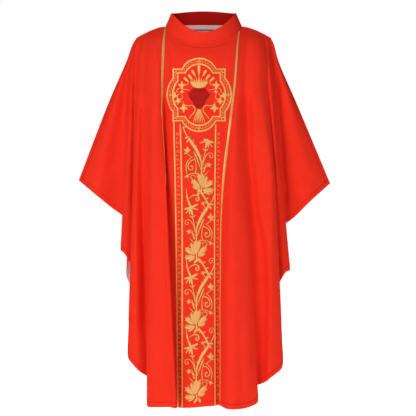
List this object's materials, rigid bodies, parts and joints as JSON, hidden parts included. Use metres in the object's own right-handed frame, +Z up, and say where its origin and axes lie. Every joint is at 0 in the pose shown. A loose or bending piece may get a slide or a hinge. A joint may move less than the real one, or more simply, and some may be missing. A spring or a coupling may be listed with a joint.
{
  "type": "chasuble",
  "caption": "Wide sleeveless vestment with a standing collar, hanging in folds from the shoulders, with braided seams and an embroidered front band and medallion",
  "frame": {"origin": "middle of the neck opening, at the height where the shoulder seams meet the collar", "axes": "+Z up, +Y to the back, -Y the embroidered front, +X to the right as seen from the front"},
  "size_m": [0.817, 0.3948, 1.266],
  "materials": {
    "red_twill": "soft satin-faced polyester twill, scarlet",
    "pale_lining": "plain woven lining, pale rose grey",
    "woven_interfacing": "matt woven interfacing, off white",
    "gold_braid": "woven metallic braid, old gold",
    "gold_thread": "metallic embroidery thread, gold",
    "crimson_thread": "satin stitch in dark red thread"
  },
  "bodies": {
    "root": {"back_centre_panel": "red_twill", "back_left_panel": "red_twill", "back_lining": "pale_lining", "back_orphrey_backing": "woven_interfacing", "back_right_panel": "red_twill", "border_cord_back_left_inner": "gold_thread", "border_cord_back_left_outer": "gold_thread", "border_cord_back_right_inner": "gold_thread", "border_cord_back_right_outer": "gold_thread", "border_cord_front_left_inner": "gold_thread", "border_cord_front_left_outer": "gold_thread", "border_cord_front_right_inner": "gold_thread", "braid_back_left": "gold_braid", "braid_back_right": "gold_braid", "braid_front_left": "gold_braid", "braid_front_right": "gold_braid", "collar_facing": "red_twill", "collar_interfacing": "woven_interfacing", "collar_outer": "red_twill", "front_centre_panel": "red_twill", "front_left_panel": "red_twill", "front_lining": "pale_lining", "front_orphrey_backing": "woven_interfacing", "front_right_panel": "red_twill", "heart": "crimson_thread", "heart_crown": "gold_thread", "heart_roots": "gold_thread", "medallion_inner_cord": "gold_thread", "medallion_leaf_left_1": "gold_thread", "medallion_leaf_left_2": "gold_thread", "medallion_leaf_left_3": "gold_thread", "medallion_leaf_left_4": "gold_thread", "medallion_leaf_right_1": "gold_thread", "medallion_leaf_right_2": "gold_thread", "medallion_leaf_right_3": "gold_thread", "medallion_leaf_right_4": "gold_thread", "medallion_outer_cord": "gold_thread", "neck_tape": "red_twill", "ray_1": "gold_thread", "ray_2": "gold_thread", "ray_3": "gold_thread", "ray_4": "gold_thread", "ray_5": "gold_thread", "ray_6": "gold_thread", "ray_7": "gold_thread", "shoulder_tape_left": "woven_interfacing", "shoulder_tape_right": "woven_interfacing", "vine_leaf_1": "gold_thread", "vine_leaf_2": "gold_thread", "vine_leaf_3": "gold_thread", "vine_leaf_4": "gold_thread", "vine_stem_1": "gold_thread", "vine_stem_2": "gold_thread", "vine_stem_3": "gold_thread"}
  },
  "joints": []
}
